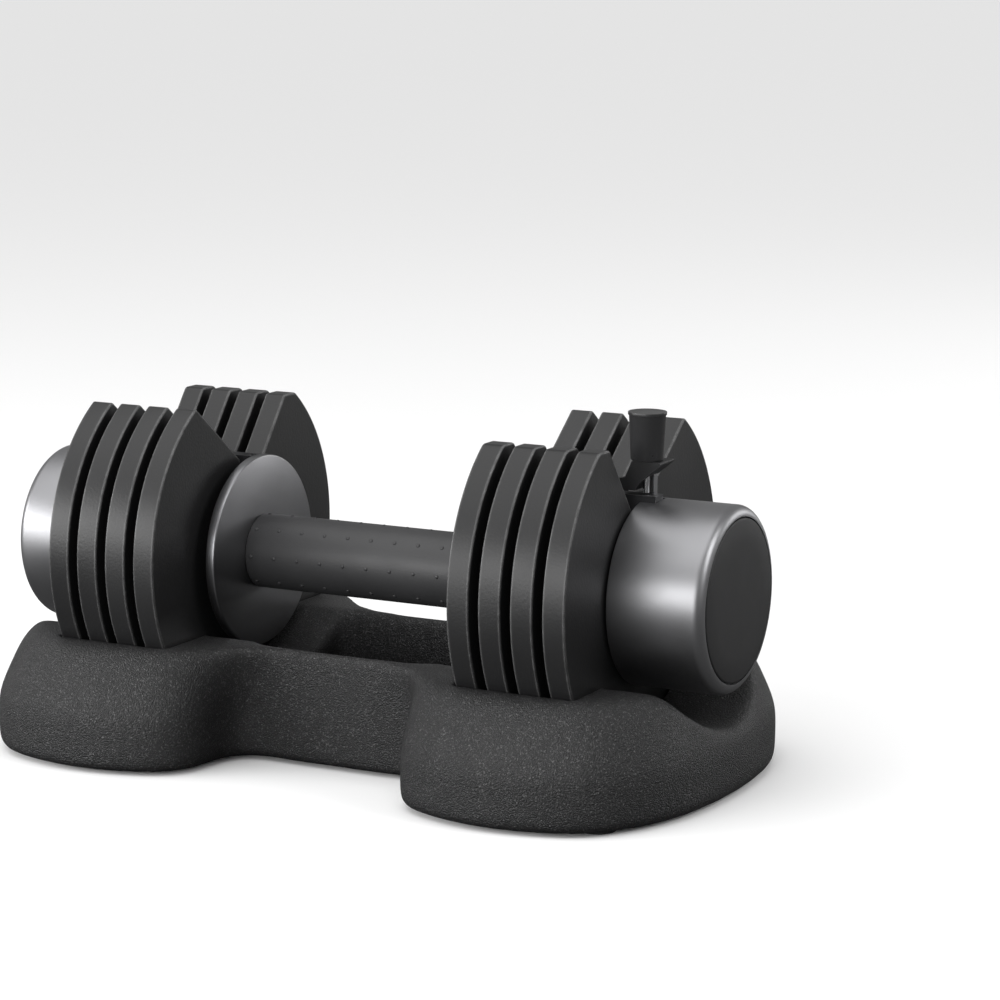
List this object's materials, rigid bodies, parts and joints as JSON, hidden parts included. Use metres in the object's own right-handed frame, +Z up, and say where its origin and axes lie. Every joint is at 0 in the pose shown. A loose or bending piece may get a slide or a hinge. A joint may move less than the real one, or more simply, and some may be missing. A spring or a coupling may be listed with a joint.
{
  "type": "adjustable dumbbell",
  "caption": "Adjustable dumbbell on a dog-bone storage tray: slotted plates, a pull knob that slides a selector, a rubber grip and round end weights.",
  "frame": {"origin": "on the floor under the middle of the handle, which is the middle of the tray's base", "axes": "+X along the handle towards the end with the pull knob, +Y across the handle to the side of that end's selector bar, +Z up"},
  "size_m": [0.349, 0.207, 0.1648],
  "materials": {
    "tray_plastic": "black moulded plastic with a fine pebble grain",
    "foot_rubber": "matte rubber",
    "plate_paint": "satin black paint over cast iron",
    "end_metal": "satin gunmetal",
    "disc_metal": "satin gunmetal",
    "insert_plastic": "matte charcoal plastic",
    "grip_rubber": "dark grey rubber with raised dots",
    "knob_plastic": "satin black plastic",
    "carriage_plastic": "matte black plastic",
    "bright_steel": "polished steel",
    "bar_steel": "drawn steel",
    "rail_metal": "black anodised",
    "guide_plastic": "self-lubricating plastic",
    "pinion_metal": "machined",
    "spacer_rubber": "soft rubber"
  },
  "bodies": {
    "tray": {"tray": "tray_plastic", "tray_feet": "foot_rubber"},
    "dumbbell": {"handle_tube": "bar_steel", "grip_sleeve": "grip_rubber", "inner_disc_right": "disc_metal", "inner_disc_left": "disc_metal", "core_rail_right": "rail_metal", "core_rail_left": "rail_metal", "end_weight_right": "end_metal", "end_weight_left": "end_metal", "end_insert_right": "insert_plastic", "end_insert_left": "insert_plastic", "end_bolts_right": "bright_steel", "end_bolts_left": "bright_steel", "bar_guide_right": "guide_plastic", "bar_guide_left": "guide_plastic", "gear_carrier_top": "guide_plastic", "gear_carrier_bottom": "guide_plastic", "pinion_axle": "bright_steel", "plate_spacers_right": "spacer_rubber", "plate_spacers_left": "spacer_rubber", "plate_right_1": "plate_paint", "plate_right_2": "plate_paint", "plate_right_3": "plate_paint", "plate_right_4": "plate_paint", "plate_left_1": "plate_paint", "plate_left_2": "plate_paint", "plate_left_3": "plate_paint", "plate_left_4": "plate_paint"},
    "selector_right": {"selector_bar_right": "bar_steel", "carriage": "carriage_plastic", "spring_cap": "bright_steel", "post_screw": "bright_steel", "stop_screw": "bright_steel", "pin_spring": "bright_steel"},
    "selector_left": {"selector_bar_left": "bar_steel"},
    "pinion_gear": {"pinion": "pinion_metal"},
    "pull_knob": {"knob": "knob_plastic", "pull_pin": "bright_steel", "retaining_ring": "bright_steel"}
  },
  "joints": [
    {"name": "dumbbell_lift", "type": "slide", "parent": "tray", "child": "dumbbell", "axis": [0, 0, 1], "range_m": [0, 0.12]},
    {"name": "selector_slide", "type": "slide", "parent": "dumbbell", "child": "selector_right", "axis": [1, 0, 0], "range_m": [-0.05944, 0]},
    {"name": "left_bar_slide", "type": "slide", "parent": "dumbbell", "child": "selector_left", "axis": [1, 0, 0], "range_m": [0, 0.05944]},
    {"name": "pinion_spin", "type": "hinge", "parent": "dumbbell", "child": "pinion_gear", "pos_m": [0, 0, 0.086], "axis": [0, 0, 1], "range_deg": [0, 757]},
    {"name": "knob_pull", "type": "slide", "parent": "selector_right", "child": "pull_knob", "axis": [0, 0, 1], "range_m": [0, 0.006], "stiffness_N_per_m": 600, "springref_m": -0.004, "deforming": ["pin_spring"]}
  ],
  "couplings": [
    {"joint": "left_bar_slide", "follows": "selector_slide", "ratio": -1},
    {"joint": "pinion_spin", "follows": "selector_slide", "rad_per_m": -222.22}
  ]
}
